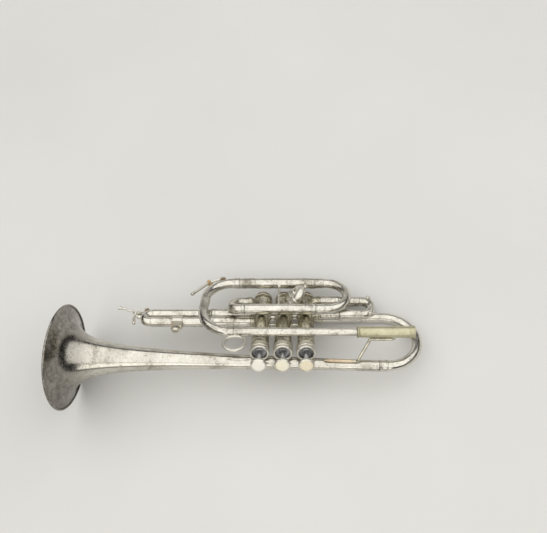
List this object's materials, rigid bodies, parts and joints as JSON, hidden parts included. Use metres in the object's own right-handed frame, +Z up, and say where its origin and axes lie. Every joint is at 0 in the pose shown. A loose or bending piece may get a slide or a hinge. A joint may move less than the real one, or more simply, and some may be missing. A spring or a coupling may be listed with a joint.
{
  "type": "cornet",
  "caption": "Long-model cornet lying on its side, with piston valves, pull-out slides, water keys, finger ring and a worn nickel finish.",
  "frame": {"origin": "centre of the footprint of the instrument lying on a table, at table height", "axes": "+X from the bell towards the mouthpiece receiver, +Y away from the finger buttons, +Z up"},
  "size_m": [0.4144, 0.17, 0.1209],
  "materials": {
    "nickel_plate": "worn nickel plating, soft gloss with tarnish",
    "worn_nickel": "rubbed and darkened nickel plating",
    "bare_brass_receiver": "pale brass where plating has worn away",
    "brass": "aged brass",
    "steel": "ground metal",
    "pearl": "polished shell",
    "felt": "pressed felt",
    "cork": "matt cork"
  },
  "bodies": {
    "cornet_frame": {"bell": "nickel_plate", "bell_bow": "nickel_plate", "bell_post_front": "nickel_plate", "bell_post_rear": "nickel_plate", "bottom_cap_1": "nickel_plate", "bottom_cap_2": "nickel_plate", "bottom_cap_3": "nickel_plate", "casing_stay_12": "nickel_plate", "casing_stay_23": "nickel_plate", "crossover_tube_12": "nickel_plate", "crossover_tube_23": "nickel_plate", "first_slide_sleeves": "nickel_plate", "front_bend": "nickel_plate", "leadpipe": "nickel_plate", "loop_post": "nickel_plate", "main_water_key_saddle": "brass", "main_water_nipple": "nickel_plate", "mouthpiece_receiver": "bare_brass_receiver", "pinky_ring": "nickel_plate", "receiver_brace": "worn_nickel", "second_slide_sleeves": "nickel_plate", "third_slide_sleeves": "nickel_plate", "third_valve_entry_bend": "nickel_plate", "top_cap_1": "nickel_plate", "top_cap_2": "nickel_plate", "top_cap_3": "nickel_plate", "tuning_sleeve_lower": "nickel_plate", "tuning_sleeve_upper": "nickel_plate", "valve_casing_1": "worn_nickel", "valve_casing_2": "worn_nickel", "valve_casing_3": "worn_nickel", "valve_guide_1": "brass", "valve_guide_2": "brass", "valve_guide_3": "brass", "valve_spring_1": "steel", "valve_spring_2": "steel", "valve_spring_3": "steel"},
    "valve_1": {"piston_1": "steel", "finger_button_1": "nickel_plate", "button_pearl_1": "pearl", "stem_felt_1": "felt"},
    "valve_2": {"piston_2": "steel", "finger_button_2": "nickel_plate", "button_pearl_2": "pearl", "stem_felt_2": "felt"},
    "valve_3": {"piston_3": "steel", "finger_button_3": "nickel_plate", "button_pearl_3": "pearl", "stem_felt_3": "felt"},
    "main_tuning_slide": {"tuning_slide": "nickel_plate"},
    "first_valve_slide": {"first_slide": "nickel_plate"},
    "second_valve_slide": {"second_slide": "nickel_plate"},
    "third_valve_slide": {"third_slide": "nickel_plate", "third_water_key_saddle": "brass"},
    "third_water_key": {"third_water_key_lever": "nickel_plate", "third_water_key_cork": "cork"},
    "main_water_key": {"main_water_key_lever": "nickel_plate", "main_water_key_cork": "cork"},
    "lyre_clamp_screw": {"lyre_screw": "nickel_plate"}
  },
  "joints": [
    {"name": "valve_1_press", "type": "slide", "parent": "cornet_frame", "child": "valve_1", "axis": [-0.0448, 0.8658, -0.4983], "range_m": [0, 0.0135], "stiffness_N_per_m": 110, "springref_m": -0.014, "deforming": ["valve_spring_1"]},
    {"name": "valve_2_press", "type": "slide", "parent": "cornet_frame", "child": "valve_2", "axis": [-0.0448, 0.8658, -0.4983], "range_m": [0, 0.0135], "stiffness_N_per_m": 110, "springref_m": -0.014, "deforming": ["valve_spring_2"]},
    {"name": "valve_3_press", "type": "slide", "parent": "cornet_frame", "child": "valve_3", "axis": [-0.0448, 0.8658, -0.4983], "range_m": [0, 0.0135], "stiffness_N_per_m": 110, "springref_m": -0.014, "deforming": ["valve_spring_3"]},
    {"name": "main_tuning_slide_pull", "type": "slide", "parent": "cornet_frame", "child": "main_tuning_slide", "axis": [0.996, 0, -0.0896], "range_m": [0, 0.03]},
    {"name": "first_valve_slide_pull", "type": "slide", "parent": "cornet_frame", "child": "first_valve_slide", "axis": [0.996, 0, -0.0896], "range_m": [0, 0.014]},
    {"name": "second_valve_slide_pull", "type": "slide", "parent": "cornet_frame", "child": "second_valve_slide", "axis": [0.6871, 0.3888, 0.6138], "range_m": [0, 0.004]},
    {"name": "third_valve_slide_pull", "type": "slide", "parent": "cornet_frame", "child": "third_valve_slide", "axis": [-0.996, 0, 0.0896], "range_m": [0, 0.035]},
    {"name": "main_water_key_lift", "type": "hinge", "parent": "cornet_frame", "child": "main_water_key", "pos_m": [-0.04757, 0.07597, 0.03037], "axis": [0.0776, 0.5003, 0.8623], "range_deg": [0, 10], "stiffness_Nm_per_rad": 0.03, "springref_deg": -20.05},
    {"name": "third_water_key_lift", "type": "hinge", "parent": "third_valve_slide", "child": "third_water_key", "pos_m": [-0.12793, 0.03176, 0.0433], "axis": [0.0776, 0.5003, 0.8623], "range_deg": [0, 8], "stiffness_Nm_per_rad": 0.03, "springref_deg": -20.05},
    {"name": "lyre_screw_turn", "type": "hinge", "parent": "third_valve_slide", "child": "lyre_clamp_screw", "pos_m": [-0.07719, 0.01083, 0.0532], "axis": [0.0448, -0.8658, 0.4983], "range_deg": [0, 720]}
  ]
}
